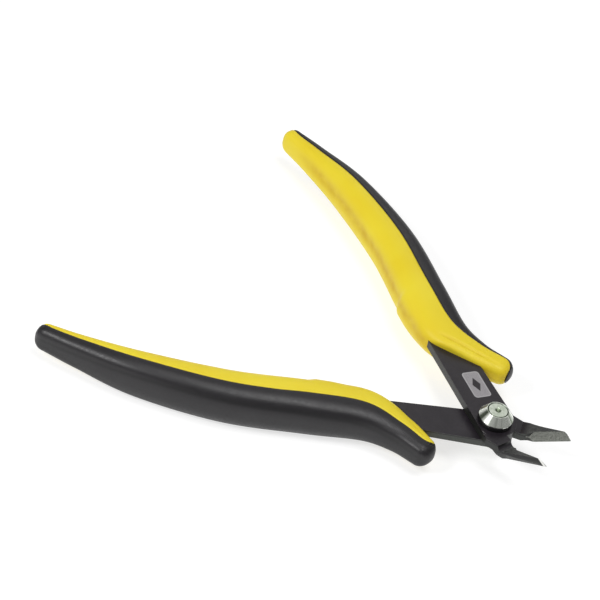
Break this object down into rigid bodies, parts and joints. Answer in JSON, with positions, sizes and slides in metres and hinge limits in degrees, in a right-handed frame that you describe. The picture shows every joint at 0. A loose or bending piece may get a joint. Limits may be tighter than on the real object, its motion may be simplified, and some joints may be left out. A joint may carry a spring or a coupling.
{
  "type": "angled flush cutting pliers",
  "caption": "Small diagonal flush cutters with an angled head: stamped levers on a riveted pivot, sprung open, with curved soft grips that end in a finger guard.",
  "frame": {"origin": "on the pivot axis, at the flat rear face of the pivot rivet", "axes": "+X towards the jaws along the middle of the open tool, +Y to the side of the upper lever's handle, +Z along the pivot axis towards the front of the tool, where the collar is"},
  "size_m": [0.1223, 0.1174, 0.0147],
  "materials": {
    "lever_steel": "black phosphated stamped steel, with a light etched panel and bare ground cutting bevels",
    "yellow_plastic": "matt moulded plastic",
    "black_soft_grip": "satin soft-touch moulding",
    "turned_steel": "bright turned and plated steel",
    "black_washer": "black oxide spring steel",
    "spring_wire": "drawn spring wire"
  },
  "bodies": {
    "lower_half": {"lower_lever": "lever_steel", "lower_grip_inner": "yellow_plastic", "lower_grip_outer": "black_soft_grip", "pivot_rivet": "turned_steel", "spring_washer": "black_washer", "pivot_collar": "turned_steel", "return_spring": "spring_wire"},
    "upper_half": {"upper_lever": "lever_steel", "upper_grip_inner": "yellow_plastic", "upper_grip_outer": "black_soft_grip"}
  },
  "joints": [
    {"name": "lever_pivot", "type": "hinge", "parent": "lower_half", "child": "upper_half", "pos_m": [0, 0, 0], "axis": [0, 0, 1], "range_deg": [0, 36.4], "stiffness_Nm_per_rad": 0.5, "springref_deg": -17.19, "deforming": ["return_spring"]}
  ]
}
